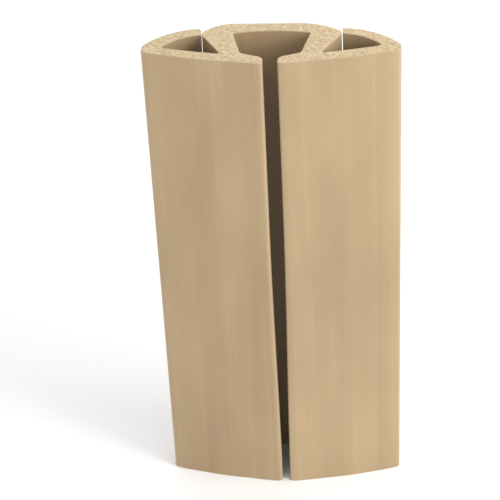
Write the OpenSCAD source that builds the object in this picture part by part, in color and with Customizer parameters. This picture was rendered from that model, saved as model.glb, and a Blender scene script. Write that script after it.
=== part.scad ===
// Floor cord cover: one flexible extrusion with three channels, cut square at both ends.
// It stands on its lower cut end. Z runs along the extrusion, -Y faces the slotted
// underside and +Y the domed top. The origin is the centre of the lower end's box.
// The walls that flex are nodes of their own. Each turns on a round knuckle that runs
// the whole length in the middle of the wall, where the real wall bends.

/* [Cover] */
// Length of the piece along the extrusion
cover_l = 165; // [110:5:400]
// Width over the two outer edges
cover_w = 76.2; // [75.6:0.2:77]
// Depth from the lips to the crown
cover_d = 22.7; // [22.4:0.1:23]

/* [Slot] */
// Width of the slot at the upper end
slot_top_w = 4.3; // [3:0.1:4.8]
// Width of the slot at the lower end
slot_bottom_w = 2.5; // [2.5:0.1:4.8]
// Height at which the slot reaches its upper width
slot_knee_z = 105; // [40:5:110]

/* [Central channel] */
// Thickness of the wall over the central channel, at its middle
crown_wall = 4.3; // [4.1:0.1:4.5]
// Width of the central channel under its roof
roof_w = 23; // [22:0.2:24]
// Rise of the arched roof
roof_rise = 1.3; // [1:0.1:1.6]
// Width of the central channel at the roots of the lips
foot_w = 17.8; // [17:0.2:18.2]

/* [Side channels] */
// Thickness of the wall under each side channel
base_wall = 3.8; // [3.6:0.1:4]
// Width between the slits that open the side channels
slit_span = 41.3; // [40.9:0.1:41.7]
// Width of each slit
slit_gap = 0.3; // [0.25:0.05:0.5]

/* [Flexing] */
// Largest opening of each side about the crown, in degrees
crown_open = 15; // [5:1:15]
// Largest lift of each flap, in degrees
flap_lift = 35; // [10:1:35]
// Largest swing of each lip into the channel, in degrees
lip_in = 20; // [5:1:20]
// Largest swing of each lip outward, in degrees
lip_out = 15; // [5:1:15]
// Clearance between a knuckle and its seat
hinge_gap = 0.15; // [0.1:0.01:0.2]

/* [Hidden] */
$fn = 180;
arc_fn = 1440;            // segments on the long shallow arcs of the sole
beige = [0.80, 0.69, 0.55];
reach = 60;               // longer than any distance across the outline
over = 1;                 // how far a cut runs past the face that it starts from
swing_play = 2;           // extra degrees cut away past each limit

// Underside: each half is a shallow arc that leans back from the slot to the outer edge.
sole_r = 220;
sole_lean = 6;
sole_c = [slot_bottom_w / 2 - sole_r * sin(sole_lean), sole_r * cos(sole_lean)];
function sole_y(x) = sole_c.y - sqrt(pow(sole_r, 2) - pow(x - sole_c.x, 2));

// Centre of the arc of radius r from point a anticlockwise to point b.
function arc_centre(a, b, r) =
    let (half = norm(b - a) / 2, side = [a.y - b.y, b.x - a.x] / norm(b - a))
    (a + b) / 2 + side * sqrt(r * r - half * half);

// Direction of vector v, in degrees.
function heading(v) = atan2(v.y, v.x);
function polar(r, a) = [r * cos(a), r * sin(a)];

edge_x = cover_w / 2;
edge_top_y = 10;          // the outer edge is blunt, from the sole up to here
slit_x = slit_span / 2;
flap_tip_x = slit_x + slit_gap;

// Dome: the outer face of each flap, down to the outer edge.
dome_r = 23.2;
flap_tip_y = 19.8;
dome_c = arc_centre([edge_x, edge_top_y], [flap_tip_x, flap_tip_y], dome_r);

// Hump: flat over the channel, then a round shoulder down to the slit.
hump_r = 14.4;
shoulder_y = 17.65;
hump_y = cover_d - hump_r;
hump_x = slit_x - sqrt(pow(hump_r, 2) - pow(shoulder_y - hump_y, 2));

// Central channel: arched roof, leaning webs, lips that slope down to the slot.
roof_y = cover_d - crown_wall;
roof_corner = [roof_w / 2, roof_y - roof_rise];
roof_r = (pow(roof_w / 2, 2) + pow(roof_rise, 2)) / (2 * roof_rise);
lip_root = [foot_w / 2, 6];
lip_slope = 20.4;
lip_mid_y = lip_root.y - lip_root.x * tan(lip_slope);

// Side channel: under the flap's inner arc, over the base wall, outside the web.
floor_r = sole_r - base_wall;
web_foot = [15, 6.3];
web_top = [slit_x, 16.2];
pocket_r = 17.7;
pocket_tip = [32.2, 10];
pocket_end = [slit_x, 16.5];
pocket_c = arc_centre(pocket_tip, pocket_end, pocket_r);
nose_r = 1;               // outer corner of the flap's tip

// Hinge lines, each in the middle of its wall.
crown_hinge_x = 7.5;
roof_at_hinge = roof_y - roof_r + sqrt(pow(roof_r, 2) - pow(crown_hinge_x, 2));
crown_hinge = [crown_hinge_x, (cover_d + roof_at_hinge) / 2];
crown_knuckle = (cover_d - roof_at_hinge) / 2;

flap_hinge_a = 57;
flap_dir = polar(1, flap_hinge_a);
arc_shift = pocket_c - dome_c;
both_r = dome_r + pocket_r;
flap_hinge_r = (pow(both_r, 2) - arc_shift * arc_shift) / (2 * (both_r - arc_shift * flap_dir));
flap_hinge = dome_c + flap_hinge_r * flap_dir;
flap_knuckle = dome_r - flap_hinge_r;
flap_inner_a = heading(pocket_c - flap_hinge) + 360;

lip_hinge_x = 6.8;
lip_top_y = lip_mid_y + lip_hinge_x * tan(lip_slope);
lip_wall_y = lip_top_y - sole_y(lip_hinge_x);
sole_slope_at_lip = asin((lip_hinge_x - sole_c.x) / sole_r);
lip_share = cos(lip_slope) / (cos(lip_slope) + cos(sole_slope_at_lip));
lip_hinge = [lip_hinge_x, sole_y(lip_hinge_x) + lip_share * lip_wall_y];
lip_knuckle = sole_r - norm(lip_hinge - sole_c);
lip_upper_a = 90 + lip_slope;
lip_lower_a = heading(lip_hinge - sole_c) + 360;

// Half of the slot's width at height z.
function ease(t) = t * t * (3 - 2 * t);
function slot_half(z) =
    (slot_bottom_w + (slot_top_w - slot_bottom_w) * ease(min(1, z / slot_knee_z))) / 2;

// Everything between the directions a and b, seen from point p.
module sector(p, a, b) {
    steps = 6;
    polygon(concat([p], [for (i = [0:steps]) p + polar(2 * reach, a + (b - a) * i / steps)]));
}

module turned(p, a) {
    translate(p) rotate(a) translate(-p) children();
}

// The right half's outline with nothing hollow in it.
module half_outline() {
    intersection() {
        translate(sole_c) circle(sole_r, $fn = arc_fn);
        union() {
            intersection() {
                translate(dome_c) circle(dome_r);
                translate([slit_x, 0]) square([edge_x - slit_x, cover_d]);
            }
            intersection() {
                union() {
                    translate([hump_x, hump_y]) circle(hump_r);
                    square([hump_x, cover_d]);
                }
                square([slit_x, cover_d]);
            }
        }
    }
}

module central_channel() {
    intersection() {
        translate([0, roof_y - roof_r]) circle(roof_r, $fn = arc_fn);
        polygon([[-over, lip_mid_y], [0, lip_mid_y], lip_root, roof_corner,
                 [roof_corner.x, cover_d], [-over, cover_d]]);
    }
}

module side_channel() {
    intersection() {
        translate(sole_c) circle(floor_r, $fn = arc_fn);
        translate(pocket_c) circle(pocket_r);
        polygon([web_foot + (web_foot - web_top) / 2, [reach, 0], [reach, reach],
                 [web_top.x, reach], web_top]);
    }
}

// The room that a flap and its slit take out of the side.
module flap_room() {
    intersection() {
        sector(flap_hinge, flap_hinge_a, flap_inner_a);
        translate([slit_x, 0]) square([reach, reach]);
        difference() {
            square([reach, reach]);
            translate(pocket_c) circle(pocket_r);
        }
    }
}

module flap_outline() {
    nose = [flap_tip_x + nose_r, flap_tip_y - nose_r];
    intersection() {
        half_outline();
        union() {
            intersection() {
                flap_room();
                union() {
                    translate([nose.x, 0]) square([reach, reach]);
                    translate([flap_tip_x, 0]) square([reach, nose.y]);
                    translate(nose) circle(nose_r);
                }
            }
            translate(flap_hinge) circle(flap_knuckle);
        }
    }
}

module lip_outline() {
    intersection() {
        difference() {
            half_outline();
            central_channel();
        }
        union() {
            intersection() {
                sector(lip_hinge, lip_upper_a, lip_lower_a);
                square([reach, web_foot.y]);
            }
            translate(lip_hinge) circle(lip_knuckle);
        }
    }
}

module crown_outline() {
    difference() {
        translate([0, crown_hinge.y - crown_knuckle]) square([crown_hinge.x, reach]);
        translate([-reach, cover_d]) square(2 * reach);
        central_channel();
    }
    translate(crown_hinge) circle(crown_knuckle);
}

module side_outline() {
    difference() {
        half_outline();
        central_channel();
        side_channel();
        translate([0, cover_d / 2]) square([crown_hinge.x, cover_d]);
        translate(crown_hinge) circle(crown_knuckle + hinge_gap);
        turned(crown_hinge, -crown_open - swing_play) crown_outline();
        flap_room();
        translate(flap_hinge) circle(flap_knuckle + hinge_gap);
        turned(flap_hinge, -flap_lift - swing_play) flap_outline();
        sector(lip_hinge, lip_upper_a, lip_lower_a);
        translate(lip_hinge) circle(lip_knuckle + hinge_gap);
        turned(lip_hinge, -lip_in - swing_play) lip_outline();
        turned(lip_hinge, lip_out + swing_play) lip_outline();
    }
}

// The cut that leaves the slot, widening smoothly up to the knee.
module slot_cut() {
    steps = 12;
    edge = [for (i = [0:steps]) let (z = slot_knee_z * i / steps) [slot_half(z), z]];
    top = cover_l + over;
    outline = concat([[-over, -over], [slot_half(0), -over]], edge,
                     [[slot_half(slot_knee_z), top], [-over, top]]);
    translate([0, cover_d / 2, 0]) rotate([90, 0, 0]) linear_extrude(cover_d) polygon(outline);
}

module full_length() {
    translate([0, -cover_d / 2, 0]) linear_extrude(cover_l) children();
}

module on_left() {
    mirror([1, 0, 0]) children();
}

module crown() {
    color(beige) full_length() {
        crown_outline();
        mirror([1, 0]) crown_outline();
    }
}

module right_side() {
    color(beige) full_length() side_outline();
}

module right_flap() {
    color(beige) full_length() flap_outline();
}

module right_lip() {
    color(beige) difference() {
        full_length() lip_outline();
        slot_cut();
    }
}

module left_side() {
    on_left() right_side();
}

module left_flap() {
    on_left() right_flap();
}

module left_lip() {
    on_left() right_lip();
}

crown();
left_side();
right_side();
left_flap();
right_flap();
left_lip();
right_lip();
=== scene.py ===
import math

import bpy
import numpy as np
from mathutils import Matrix, Vector
from mathutils.geometry import tessellate_polygon


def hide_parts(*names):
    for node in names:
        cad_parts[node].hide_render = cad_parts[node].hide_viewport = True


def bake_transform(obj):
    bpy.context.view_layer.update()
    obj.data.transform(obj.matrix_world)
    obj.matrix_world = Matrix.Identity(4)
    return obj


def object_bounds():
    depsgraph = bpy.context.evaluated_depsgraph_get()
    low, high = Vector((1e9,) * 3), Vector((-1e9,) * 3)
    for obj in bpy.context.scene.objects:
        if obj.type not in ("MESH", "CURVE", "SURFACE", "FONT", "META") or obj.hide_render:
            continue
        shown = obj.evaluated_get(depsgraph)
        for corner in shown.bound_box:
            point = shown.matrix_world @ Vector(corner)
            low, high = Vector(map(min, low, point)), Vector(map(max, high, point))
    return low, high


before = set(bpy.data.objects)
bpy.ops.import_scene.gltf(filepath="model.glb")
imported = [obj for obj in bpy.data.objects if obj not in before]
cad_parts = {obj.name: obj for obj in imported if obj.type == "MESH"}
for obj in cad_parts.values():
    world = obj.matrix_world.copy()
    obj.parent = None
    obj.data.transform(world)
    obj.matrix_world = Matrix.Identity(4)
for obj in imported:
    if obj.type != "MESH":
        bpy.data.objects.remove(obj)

# Floor cord cover: one flexible extrusion with three channels, standing on a cut end.
# The outline is drawn once, for the right half, in millimetres: x from the middle plane and
# y from the lips' front. It is cut into three skins, which are lofted along the length and
# mirrored for the left half.

CAD_LOW, CAD_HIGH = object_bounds()
MM = 0.001
LENGTH = (CAD_HIGH.z - CAD_LOW.z) / MM
DEPTH = (CAD_HIGH.y - CAD_LOW.y) / MM
EDGE_X = CAD_HIGH.x / MM

# ---------------------------------------------------------------------------
# Design sizes of the outline, in millimetres and degrees
# ---------------------------------------------------------------------------

# The slot's width at the upper and the lower end, and where it reaches its upper width
SLOT_TOP, SLOT_BOTTOM, SLOT_KNEE = 4.3, 2.5, 105.0

# The sole: in each half, a shallow arc that leans back from the slot to the outer edge
SOLE_R, SOLE_LEAN = 220.0, 6.0
SOLE_C = np.array([
    SLOT_BOTTOM / 2 - SOLE_R * math.sin(math.radians(SOLE_LEAN)),
    SOLE_R * math.cos(math.radians(SOLE_LEAN)),
])
BEAD_HIGH, BEAD_IN, BEAD_OUT = 0.15, 4.8, 9.2      # a low bead along each lip
SINK_DEEP, SINK_FROM, SINK_FADE = 0.07, 9.0, 5.0   # shallow sink marks beside the bead
SINK_MIDDLE, SINK_WAVE = 27.0, 23.0
SLOT_ROLL, SLOT_ROLL_X = 0.045, 4.6                # it rolls off towards the slot,
EDGE_ROLL, EDGE_ROLL_X = 0.03, 34.3                # and towards the outer edge

# The outer side: blunt edge, dome over the side channel, slit, shoulder of the hump
EDGE_TOP_Y, FLAP_TIP_Y, DOME_R = 10.0, 19.8, 23.2
SLIT_X, SLIT_GAP = 20.65, 0.3
SHOULDER_Y = 17.65

# The central channel: arched roof, leaning webs, lips that slope down to the slot
CROWN_WALL, ROOF_HALF, ROOF_RISE = 4.3, 11.5, 1.3
ROOF_Y = DEPTH - CROWN_WALL
LIP_ROOT, LIP_SLOPE = np.array([8.9, 6.0]), 20.4

# The side channel: floor, web, and the flap's inner arc
BASE_WALL = 3.8
WEB_FOOT, WEB_TOP = np.array([15.0, 6.3]), np.array([SLIT_X, 16.2])
POCKET_R, POCKET_TIP, POCKET_END = 17.7, np.array([32.2, 10.0]), np.array([SLIT_X, 16.5])

ARC_STEP = 0.2                                     # distance between the points of an arc


def polar(radius, degrees):
    """The vector of a length and a direction."""
    angle = math.radians(degrees)
    return np.array([radius * math.cos(angle), radius * math.sin(angle)])


def heading(vector):
    """The direction of a vector, in degrees."""
    return math.degrees(math.atan2(vector[1], vector[0]))


def arc_centre(a, b, radius):
    """Centre of the arc that runs anticlockwise from a to b."""
    chord = np.linalg.norm(b - a)
    side = np.array([a[1] - b[1], b[0] - a[0]]) / chord
    return (a + b) / 2 + side * math.sqrt(radius ** 2 - chord ** 2 / 4)


def arc(centre, radius, start, end):
    """Points along an arc, from one angle to another."""
    count = max(3, int(abs(math.radians(end - start)) * radius / ARC_STEP))
    return [centre + polar(radius, a) for a in np.linspace(start, end, count)]


def on_circle(centre, radius, x, upper):
    """Angle of the point of a circle at x, on its upper or its lower half."""
    angle = math.degrees(math.acos((x - centre[0]) / radius))
    return angle if upper else -angle


def crossing(centre_a, radius_a, centre_b, radius_b):
    """The crossing point of two circles that lies further to the right."""
    gap = centre_b - centre_a
    distance = np.linalg.norm(gap)
    along = (radius_a ** 2 - radius_b ** 2 + distance ** 2) / (2 * distance)
    across = math.sqrt(radius_a ** 2 - along ** 2)
    middle = centre_a + gap * along / distance
    offset = np.array([-gap[1], gap[0]]) * across / distance
    return max(middle + offset, middle - offset, key=lambda p: p[0])


def ease(t):
    """A smooth step from 0 to 1."""
    t = np.clip(t, 0.0, 1.0)
    return t * t * (3 - 2 * t)


def slot_half(z):
    """Half of the slot's width at a height."""
    return (SLOT_BOTTOM + (SLOT_TOP - SLOT_BOTTOM) * ease(z / SLOT_KNEE)) / 2


def sole_y(x):
    """The sole's height: a shallow arc with a bead, a sink mark and edges that roll off."""
    bead = BEAD_HIGH * ease((BEAD_OUT - x) / (BEAD_OUT - BEAD_IN))
    wave = np.sin((x - SINK_MIDDLE) * 2 * math.pi / SINK_WAVE)
    sink = SINK_DEEP * ease((x - SINK_FROM) / SINK_FADE) * wave
    roll = SLOT_ROLL * np.maximum(0, SLOT_ROLL_X - x) ** 2
    roll = roll + EDGE_ROLL * np.maximum(0, x - EDGE_ROLL_X) ** 2
    return SOLE_C[1] - np.sqrt(SOLE_R ** 2 - (x - SOLE_C[0]) ** 2) - bead + sink + roll


POCKET_C = arc_centre(POCKET_TIP, POCKET_END, POCKET_R)
ROOF_R = (ROOF_HALF ** 2 + ROOF_RISE ** 2) / (2 * ROOF_RISE)
ROOF_C = np.array([0.0, ROOF_Y - ROOF_R])
FLOOR_R = SOLE_R - BASE_WALL

# Where the skins meet: across the hump, and from the side channel's tip to the dome.
CROWN_CUT_OUT, CROWN_CUT_IN = 12.4, 10.7
FLAP_CUT_OUT, FLAP_CUT_IN = 49.0, 43.5

# The extrusion is a little uneven: the left half came out fuller than the right one. For
# each side, the radius of its shoulder, the dome's extra height, and the nose's rounding.
UNEVEN = {
    -1: {"hump_r": 11.5, "dome_rise": 0.3, "nose": 1.9},
    1: {"hump_r": 20.0, "dome_rise": -0.3, "nose": 0.6},
}


def hump(side):
    """Centre and radius of the shoulder's arc, which leaves the flat top without a kink."""
    radius = UNEVEN[side]["hump_r"]
    y = DEPTH - radius
    return np.array([SLIT_X - math.sqrt(radius ** 2 - (SHOULDER_Y - y) ** 2), y]), radius


def dome(side):
    """Centre of the flap's outer arc, and the top of the blunt outer edge."""
    rise = UNEVEN[side]["dome_rise"]
    edge_top = np.array([EDGE_X, EDGE_TOP_Y + rise])
    return arc_centre(edge_top, np.array([SLIT_X + SLIT_GAP, FLAP_TIP_Y + rise]), DOME_R), edge_top


# ---------------------------------------------------------------------------
# Outlines
# ---------------------------------------------------------------------------

FINE = 0.04                                        # spacing while a corner is rounded off
SAME_POINT = 1e-6                                  # points closer than this are one point
LONGEST_STEP, LARGEST_TURN = 0.45, math.radians(4.5)
WEB_SEARCH = np.linspace(-0.2, 0.1, 301)           # shares of the web, on both sides of its foot


def rounded(points, corners):
    """A finely spaced line through points. Each corner, (point, width), is rounded off over
    that width on both sides by averaging along the line."""
    path = np.array(points)
    gaps = np.linalg.norm(np.diff(path, axis=0), axis=1)
    path = path[np.concatenate([[True], gaps > SAME_POINT])]
    at = np.concatenate([[0], np.cumsum(np.linalg.norm(np.diff(path, axis=0), axis=1))])
    s = np.linspace(0, at[-1], int(at[-1] / FINE) + 1)
    dense = np.column_stack([np.interp(s, at, path[:, k]) for k in (0, 1)])
    reach = np.zeros(len(s))
    for corner, width in corners:
        nearest = s[np.argmin(np.linalg.norm(dense - corner, axis=1))]
        reach = np.maximum(reach, width * np.clip(3 - 2 * abs(s - nearest) / width, 0, 1))
    reach = np.minimum(reach, np.minimum(s, s[-1] - s))
    step = s[1] - s[0]
    total = np.vstack([np.zeros(2), np.cumsum((dense[1:] + dense[:-1]) / 2 * step, axis=0)])
    wide = reach > FINE
    smooth = dense.copy()
    for k in (0, 1):
        high = np.interp(s + reach, s, total[:, k])
        low = np.interp(s - reach, s, total[:, k])
        smooth[wide, k] = (high - low)[wide] / (2 * reach[wide])
    return smooth


def outline(points, corners):
    """An open outline through points with rounded corners, with few points where it is
    straight and more where it turns."""
    smooth = rounded(points, corners)
    run = np.diff(smooth, axis=0)
    turning = np.diff(np.unwrap(np.arctan2(run[:, 1], run[:, 0])), prepend=0)
    turning[0] = 0
    cost = np.linalg.norm(run, axis=1) / LONGEST_STEP + abs(turning) / LARGEST_TURN
    spent = np.concatenate([[0], np.cumsum(cost)])
    marks = np.linspace(0, spent[-1], int(spent[-1]) + 2)
    return np.column_stack([np.interp(marks, spent, smooth[:, k]) for k in (0, 1)])


def crown_outlines(side):
    """Half of the wall over the central channel: its roof, then its top."""
    centre, radius = hump(side)
    top = [np.array([0.0, DEPTH])]
    top += arc(centre, radius, 90, on_circle(centre, radius, CROWN_CUT_OUT, True))
    roof = arc(ROOF_C, ROOF_R, on_circle(ROOF_C, ROOF_R, CROWN_CUT_IN, True), 90)
    return [outline(roof[::-1], []), outline(top[::-1], [])]


def channel_side(side):
    """From the hump over the shoulder, down the web, out along the side channel's floor, and
    round its tip to the flap's cut. The web's foot is where the web meets the floor."""
    centre, radius = hump(side)
    web = WEB_TOP - WEB_FOOT
    foot = min((WEB_FOOT + web * t for t in WEB_SEARCH),
               key=lambda p: abs(np.linalg.norm(p - SOLE_C) - FLOOR_R))
    tip = crossing(SOLE_C, FLOOR_R, POCKET_C, POCKET_R)
    shoulder = np.array([SLIT_X, SHOULDER_Y])
    start = on_circle(centre, radius, CROWN_CUT_OUT, True)
    path = arc(centre, radius, start, heading(shoulder - centre))
    path += [WEB_TOP]
    path += arc(SOLE_C, FLOOR_R, heading(foot - SOLE_C), heading(tip - SOLE_C))
    path += arc(POCKET_C, POCKET_R, heading(tip - POCKET_C), FLAP_CUT_IN)
    return outline(path[::-1], [(shoulder, 0.7), (WEB_TOP, 0.6), (foot, 1.5), (tip, 1.4)])


def sole_side(side):
    """From the dome's cut round the outer edge, along the sole, round the lip, up the central
    channel's wall and along its roof to the crown's cut."""
    dome_c, edge_top = dome(side)
    slot = SLOT_TOP / 2
    lip_end_y = LIP_ROOT[1] - (LIP_ROOT[0] - slot) * math.tan(math.radians(LIP_SLOPE))
    edge_low, lip_out = (np.array([x, sole_y(x)]) for x in (EDGE_X, slot))
    lip_in = np.array([slot, lip_end_y])
    roof_corner = np.array([ROOF_HALF, ROOF_Y - ROOF_RISE])
    path = arc(dome_c, DOME_R, FLAP_CUT_OUT, heading(edge_top - dome_c))
    path += [np.array([x, sole_y(x)]) for x in np.arange(EDGE_X, slot, -ARC_STEP)]
    path += [lip_out, lip_in, LIP_ROOT]
    end = on_circle(ROOF_C, ROOF_R, CROWN_CUT_IN, True)
    path += arc(ROOF_C, ROOF_R, heading(roof_corner - ROOF_C), end)
    return outline(path[::-1], [(edge_top, 1.1), (edge_low, 0.9), (lip_out, 1.1), (lip_in, 1.7),
                                (LIP_ROOT, 0.8), (roof_corner, 0.5)])


def side_outlines(side):
    """The side with its lip: everything between the hump's and the dome's cuts."""
    return [sole_side(side), channel_side(side)]


def flap_outlines(side):
    """The wall over the side channel, from its cut to its free nose at the slit."""
    dome_c = dome(side)[0]
    tip_x = SLIT_X + SLIT_GAP
    inner_end = POCKET_C + polar(POCKET_R, on_circle(POCKET_C, POCKET_R, tip_x, True))
    nose = dome_c + polar(DOME_R, on_circle(dome_c, DOME_R, tip_x, True))
    path = arc(POCKET_C, POCKET_R, FLAP_CUT_IN, heading(inner_end - POCKET_C))
    path += arc(dome_c, DOME_R, heading(nose - dome_c), FLAP_CUT_OUT)
    return [outline(path[::-1], [(inner_end, 0.4), (nose, UNEVEN[side]["nose"])])]


# ---------------------------------------------------------------------------
# Skins
# ---------------------------------------------------------------------------

CUT_ROUND = 0.14            # radius of the cut ends' edges
RIM = 0.25                  # how far the paler rim, a painted highlight, reaches along a cut face and along the skin
RING_GAP = 5.0
LIP_MARGIN = 1.0            # the lips end this far above their roots
END_ZONE = 2.5              # the first ring past each cut end's rim
SHARPEST = 1.2              # the bend, in radians a millimetre, that counts as a full crest, which gets the full painted highlight


def rings():
    """The lofted sections, each a height, an inset and how much of the rim shows there."""
    edge = [(CUT_ROUND * (1 - math.cos(a)), CUT_ROUND * (1 - math.sin(a)), 1.0)
            for a in np.radians([0, 30, 60, 90])]
    foot = [(0.0, CUT_ROUND + RIM, 0.0)] + edge
    foot += [(CUT_ROUND + RIM, 0.0, 0.0), (END_ZONE, 0.0, 0.0)]
    head = [(LENGTH - h, inset, rim) for h, inset, rim in reversed(foot)]
    count = int((LENGTH - 2 * END_ZONE) / RING_GAP)
    body = [(z, 0.0, 0.0) for z in np.linspace(END_ZONE, LENGTH - END_ZONE, count + 2)[1:-1]]
    return foot + body + head


def outward(path):
    """Unit normals on the right-hand side of an open outline."""
    run = np.gradient(path, axis=0)
    normal = np.column_stack([run[:, 1], -run[:, 0]])
    return normal / np.linalg.norm(normal, axis=1)[:, None]


def crest(path):
    """How sharply an outline bulges outward at each point, from 0 to 1."""
    run = np.diff(path, axis=0)
    length = np.linalg.norm(run, axis=1)
    turning = np.diff(np.unwrap(np.arctan2(run[:, 1], run[:, 0])))
    bulge = np.concatenate([[0], turning / ((length[1:] + length[:-1]) / 2), [0]])
    return np.clip(bulge / SHARPEST, 0, 1)


def close_lips(points, z):
    """The lips lean towards each other below the slot's knee. The roof above them stays."""
    close = SLOT_TOP / 2 - slot_half(z)
    share = ease((LIP_ROOT[0] - points[:, 0]) / (LIP_ROOT[0] - SLOT_TOP / 2))
    is_lip = points[:, 1] < LIP_ROOT[1] + LIP_MARGIN
    return points - np.column_stack([close * share * is_lip, np.zeros(len(points))])


def doubled_area(section, triangle):
    """Twice a triangle's area, above zero when it runs anticlockwise."""
    a, b, c = (section[i] for i in triangle)
    return (b[0] - a[0]) * (c[1] - a[1]) - (b[1] - a[1]) * (c[0] - a[0])


def loft_points(section, normals, levels, side):
    """Every ring's points in metres, in the shared frame."""
    points = []
    for z, inset, _ in levels:
        ring = close_lips(section, z) - normals * inset
        points.append(np.column_stack([
            side * ring[:, 0], ring[:, 1] + CAD_LOW.y / MM, np.full(len(section), z + CAD_LOW.z / MM)
        ]))
    return np.vstack(points) * MM


def loft_faces(section, normals, ring_count, side):
    """The walls between the rings, then both caps, and how many of them are walls."""
    count = len(section)
    walls = []
    for level in range(ring_count - 1):
        for i in range(count):
            a, b = level * count + i, level * count + (i + 1) % count
            walls.append((a, b, b + count, a + count))
    cut = section - normals * (CUT_ROUND + RIM)
    cap = tessellate_polygon([[Vector((x, y, 0)) for x, y in cut]])
    cap = [t if doubled_area(section, t) > 0 else (t[0], t[2], t[1]) for t in cap]
    top = (ring_count - 1) * count
    faces = walls + [(a, c, b) for a, b, c in cap]
    faces += [(a + top, b + top, c + top) for a, b, c in cap]
    if side < 0:
        faces = [tuple(reversed(f)) for f in faces]
    return faces, len(walls)


def store(mesh, name, kind, field, values):
    """Adds a point attribute for the materials to read."""
    attribute = mesh.attributes.new(name, kind, "POINT")
    attribute.data.foreach_set(field, np.asarray(values, dtype=np.float32).ravel())


def skin(name, paths, side, materials):
    """A closed piece lofted along the length. Paths run anticlockwise round the piece,
    and straight seams join the end of each to the start of the next."""
    section = np.vstack(paths)
    normals = np.vstack([outward(p) for p in paths])
    crests = np.concatenate([crest(p) for p in paths])
    ends = np.cumsum([len(p) for p in paths])
    seams = {int(e) - 1 for e in ends} | {int(e) % len(section) for e in ends}
    levels = rings()
    count = len(section)
    points = loft_points(section, normals, levels, side)
    faces, wall_count = loft_faces(section, normals, len(levels), side)
    on_cut = [i < count or i >= wall_count - count for i in range(len(faces))]
    mesh = bpy.data.meshes.new(name)
    mesh.from_pydata(points.tolist(), [], faces)
    mesh.update()
    for material in materials:
        mesh.materials.append(material)
    mesh.polygons.foreach_set("material_index", [int(cut) for cut in on_cut])
    mesh.polygons.foreach_set("use_smooth", [not cut for cut in on_cut])
    sharp = mesh.attributes.new("sharp_edge", "BOOLEAN", "EDGE")
    for edge, flag in zip(mesh.edges, sharp.data):
        a, b = edge.vertices
        flag.value = a % count in seams and b % count == a % count
    store(mesh, "rest_place", "FLOAT_VECTOR", "vector", points / MM)
    # rim and crest steer the painted highlight along the cut ends' rims and the convex crests
    store(mesh, "rim", "FLOAT", "value", np.repeat([rim for _, _, rim in levels], count))
    store(mesh, "crest", "FLOAT", "value", np.tile(crests, len(levels)))
    piece = bpy.data.objects.new(name, mesh)
    bpy.context.scene.collection.objects.link(piece)
    return piece


# ---------------------------------------------------------------------------
# Materials
# ---------------------------------------------------------------------------


class Nodes:
    """A material's node tree, with short calls that add a node and link its inputs."""

    def __init__(self, name):
        self.material = bpy.data.materials.new(name)
        self.material.use_nodes = True
        self.tree = self.material.node_tree
        self.shader = self.tree.nodes["Principled BSDF"]

    def add(self, kind, settings=(), **inputs):
        node = self.tree.nodes.new(kind)
        for key, value in dict(settings).items():
            setattr(node, key, value)
        for key, value in inputs.items():
            self.put(node.inputs[key.replace("_", " ")], value)
        return node

    def put(self, socket, value):
        if isinstance(value, bpy.types.NodeSocket):
            self.tree.links.new(value, socket)
        else:
            socket.default_value = value

    def attribute(self, name, output):
        node = self.add("ShaderNodeAttribute", {"attribute_name": name})
        return node.outputs[output]

    def stretched(self, vector, scale):
        return self.add("ShaderNodeMapping", Vector=vector, Scale=scale).outputs["Vector"]

    def noise(self, vector, scale, detail=3.0, roughness=0.5):
        node = self.add("ShaderNodeTexNoise", Vector=vector, Scale=scale, Detail=detail,
                        Roughness=roughness)
        return node.outputs["Fac"]

    def cells(self, vector, scale):
        node = self.add("ShaderNodeTexVoronoi", Vector=vector, Scale=scale)
        return node.outputs

    def math(self, operation, a, b=0.0, clamp=False):
        node = self.add("ShaderNodeMath", {"operation": operation, "use_clamp": clamp})
        self.put(node.inputs[0], a)
        self.put(node.inputs[1], b)
        return node.outputs[0]

    def add_up(self, start, *terms):
        """start plus each (value, centre, weight): (value - centre) * weight."""
        total = start
        for value, centre, weight in terms:
            part = self.math("MULTIPLY", self.math("SUBTRACT", value, centre), weight)
            total = self.math("ADD", part, total)
        return total

    def ramp(self, value, *stops):
        node = self.add("ShaderNodeValToRGB", Fac=value)
        elements = node.color_ramp.elements
        while len(elements) < len(stops):
            elements.new(0.5)
        for element, (at, color) in zip(elements, stops):
            element.position = at
            element.color = (*color, 1)
        return node.outputs["Color"]

    def mix(self, factor, a, b):
        node = self.add("ShaderNodeMix", {"data_type": "RGBA", "clamp_factor": True})
        self.put(node.inputs[0], factor)
        self.put(node.inputs[6], a)
        self.put(node.inputs[7], b)
        return node.outputs[2]

    def bump(self, height, strength, distance, normal=None):
        node = self.add("ShaderNodeBump", Strength=strength, Distance=distance, Height=height)
        if normal is not None:
            self.put(node.inputs["Normal"], normal)
        return node.outputs["Normal"]


def tone(red, green, blue):
    """A colour as a screen shows it, from 0 to 255, made linear."""
    return tuple(
        c / 12.92 if c <= 0.04045 else ((c + 0.055) / 1.055) ** 2.4
        for c in (red / 255, green / 255, blue / 255)
    )


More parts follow.
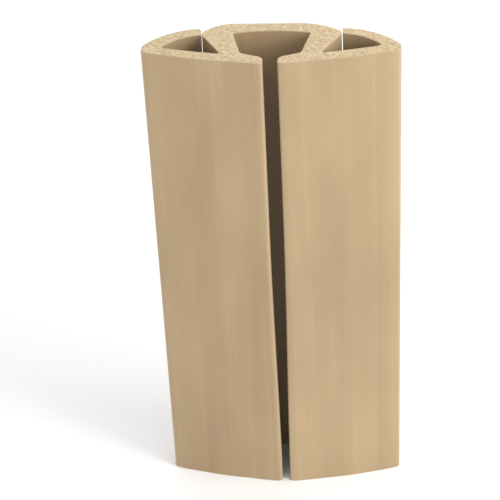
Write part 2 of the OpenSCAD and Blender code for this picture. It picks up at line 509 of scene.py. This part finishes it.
def skin_material():
    """Smooth extruded skin: soft clouds, faint lines along the length, fine grain, and a painted
    highlight that makes the crests and the cut ends' rims paler.
    """
    n = Nodes("extruded_skin")
    place = n.attribute("rest_place", "Vector")
    rim = n.attribute("rim", "Fac")
    edge = n.attribute("crest", "Fac")
    clouds = n.noise(n.stretched(place, (1, 1, 0.3)), 0.055, 2.0)
    bands = n.noise(n.stretched(place, (1, 1, 0.012)), 0.24, 2.0, 0.6)
    lines = n.noise(n.stretched(place, (1, 1, 0.01)), 2.4, 3.0, 0.6)
    grain = n.noise(place, 3.2, 2.0, 0.6)
    scuffs = n.noise(n.stretched(place, (1, 1, 0.25)), 0.5, 6.0, 0.7)
    shade = n.add_up(0.5, (clouds, 0.5, 1.3), (bands, 0.5, 0.7), (lines, 0.5, 0.4), (grain, 0.5, 0.5))
    color = n.ramp(shade, (0.0, tone(148, 125, 94)), (0.5, tone(161, 138, 105)),
                   (1.0, tone(174, 151, 117)))
    # Painted highlight: the convex crests and the cut ends' rounded rims are mixed towards a paler
    # tone, standing in for the light they catch.
    painted_edge_highlight = n.add_up(0.0, (edge, 0.0, 0.35), (rim, 0.0, 0.45))
    color = n.mix(painted_edge_highlight, color, (*tone(187, 166, 136), 1))
    worn = n.math("MULTIPLY", n.math("SUBTRACT", scuffs, 0.66, clamp=True), 2.0, clamp=True)
    color = n.mix(worn, color, (*tone(176, 156, 125), 1))
    n.put(n.shader.inputs["Base Color"], color)
    rough = n.add_up(0.5, (clouds, 0.5, 0.25), (bands, 0.5, 0.12), (worn, 0.0, 0.3))
    n.put(n.shader.inputs["Roughness"], rough)
    n.shader.inputs["Specular IOR Level"].default_value = 0.4
    die_lines = n.bump(lines, 0.35, 0.00006)
    n.put(n.shader.inputs["Normal"], n.bump(grain, 0.3, 0.00005, die_lines))
    return n.material


def cut_material():
    """Cut end: fine-celled foam with pale and dark grains, tiny pits and faint knife marks."""
    n = Nodes("cut_face")
    place = n.attribute("rest_place", "Vector")
    cells = n.cells(place, 2.6)
    specks = n.add("ShaderNodeSeparateColor", Color=cells["Color"]).outputs[0]
    coarse = n.noise(place, 0.9, 3.0, 0.6)
    fine = n.noise(place, 5.0, 2.0, 0.6)
    knife = n.noise(n.stretched(place, (0.15, 2.2, 1)), 1.0, 3.0)
    shade = n.add_up(0.5, (specks, 0.5, 0.55), (coarse, 0.5, 0.7), (fine, 0.5, 0.6),
                     (knife, 0.5, 0.25))
    color = n.ramp(shade, (0.05, tone(144, 121, 88)), (0.35, tone(189, 167, 132)),
                   (0.6, tone(200, 178, 142)), (0.95, tone(224, 206, 174)))
    n.put(n.shader.inputs["Base Color"], color)
    pits = n.math("MULTIPLY", cells["Distance"], n.math("GREATER_THAN", specks, 0.45))
    n.shader.inputs["Roughness"].default_value = 0.8
    marks = n.bump(knife, 0.4, 0.0001)
    n.put(n.shader.inputs["Normal"], n.bump(pits, 0.5, 0.0002, marks))
    return n.material


def floor_material():
    """Plain matt white."""
    n = Nodes("floor")
    n.shader.inputs["Base Color"].default_value = (0.92, 0.92, 0.92, 1)
    n.shader.inputs["Roughness"].default_value = 0.9
    return n.material


# ---------------------------------------------------------------------------
# The cover
# ---------------------------------------------------------------------------


def bend(piece):
    """Bakes a skin's transform into its mesh; the skin is not bent."""
    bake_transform(piece)


def build_half(word, side, materials):
    """The three skins of one half; each hides the CAD walls that it covers."""
    side_body, flap_body, lip_body = f"{word}_side", f"{word}_flap", f"{word}_lip"
    crown = skin(f"{word}_crown_wall", crown_outlines(side), side, materials)
    bend(crown)
    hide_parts("crown")
    web = skin(f"{word}_side_and_lip", side_outlines(side), side, materials)
    bend(web)
    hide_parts(side_body, lip_body)
    flap = skin(f"{word}_flap_wall", flap_outlines(side), side, materials)
    bend(flap)
    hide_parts(flap_body)


MATERIALS = [skin_material(), cut_material()]
build_half("left", -1, MATERIALS)
build_half("right", 1, MATERIALS)

# ---------------------------------------------------------------------------
# Floor, light and camera
# ---------------------------------------------------------------------------


def make_floor(size):
    """A square floor under the cover's lower end."""
    mesh = bpy.data.meshes.new("floor")
    h = size / 2
    corners = [(x, y, CAD_LOW.z) for x, y in ((-h, -h), (h, -h), (h, h), (-h, h))]
    mesh.from_pydata(corners, [], [(0, 1, 2, 3)])
    mesh.materials.append(floor_material())
    floor = bpy.data.objects.new("floor", mesh)
    bpy.context.scene.collection.objects.link(floor)


def make_area(name, place, size, watts):
    """A square soft light that faces the middle of the cover."""
    data = bpy.data.lights.new(name, "AREA")
    data.size = size
    data.energy = watts
    light = bpy.data.objects.new(name, data)
    bpy.context.scene.collection.objects.link(light)
    light.location = Vector(place)
    middle = (CAD_LOW + CAD_HIGH) / 2
    light.rotation_euler = (middle - light.location).to_track_quat("-Z", "Y").to_euler()


CAMERA_PITCH, CAMERA_YAW, CAMERA_ROLL = 36.87, -4.32, 2.93
CAMERA_LENS, SENSOR = 144, 36
FROM_TOP_FRONT = (0.0288, -0.4924, 0.3031)


def make_camera():
    """The camera stands in front of the slotted side, above it, and a little to the right."""
    pitch, yaw, roll = (math.radians(a) for a in (CAMERA_PITCH, CAMERA_YAW, CAMERA_ROLL))
    top_front = Vector((0, CAD_LOW.y, CAD_HIGH.z))
    flat = math.cos(pitch)
    forward = Vector((math.sin(yaw) * flat, math.cos(yaw) * flat, -math.sin(pitch)))
    level = Vector((math.cos(yaw), -math.sin(yaw), 0))
    down = forward.cross(level)
    right = math.cos(roll) * level + math.sin(roll) * down
    up = math.sin(roll) * level - math.cos(roll) * down
    data = bpy.data.cameras.new("camera")
    data.lens = CAMERA_LENS
    data.sensor_width = SENSOR
    camera = bpy.data.objects.new("camera", data)
    bpy.context.scene.collection.objects.link(camera)
    camera.matrix_world = Matrix((
        (right.x, up.x, -forward.x, 0),
        (right.y, up.y, -forward.y, 0),
        (right.z, up.z, -forward.z, 0),
        (0, 0, 0, 1),
    ))
    camera.location = top_front + Vector(FROM_TOP_FRONT)
    bpy.context.scene.camera = camera


def make_world(level, slope):
    """A soft white sky: its brightness is level plus the direction's share of each slope."""
    world_data = bpy.data.worlds.new("studio")
    world_data.use_nodes = True
    tree = world_data.node_tree
    background = tree.nodes["Background"]
    background.inputs["Color"].default_value = (1, 1, 1, 1)
    direction = tree.nodes.new("ShaderNodeTexCoord")
    share = tree.nodes.new("ShaderNodeVectorMath")
    share.operation = "DOT_PRODUCT"
    share.inputs[1].default_value = slope
    total = tree.nodes.new("ShaderNodeMath")
    total.inputs[1].default_value = level
    tree.links.new(direction.outputs["Generated"], share.inputs[0])
    tree.links.new(share.outputs["Value"], total.inputs[0])
    tree.links.new(total.outputs[0], background.inputs["Strength"])
    bpy.context.scene.world = world_data


make_floor(size=6.0)
make_world(level=1.68, slope=(0.28, 0, -0.98))
make_area("key", place=(0.42, -0.20, 0.38), size=0.25, watts=1.8)
make_camera()
bpy.context.scene.view_settings.view_transform = "Standard"
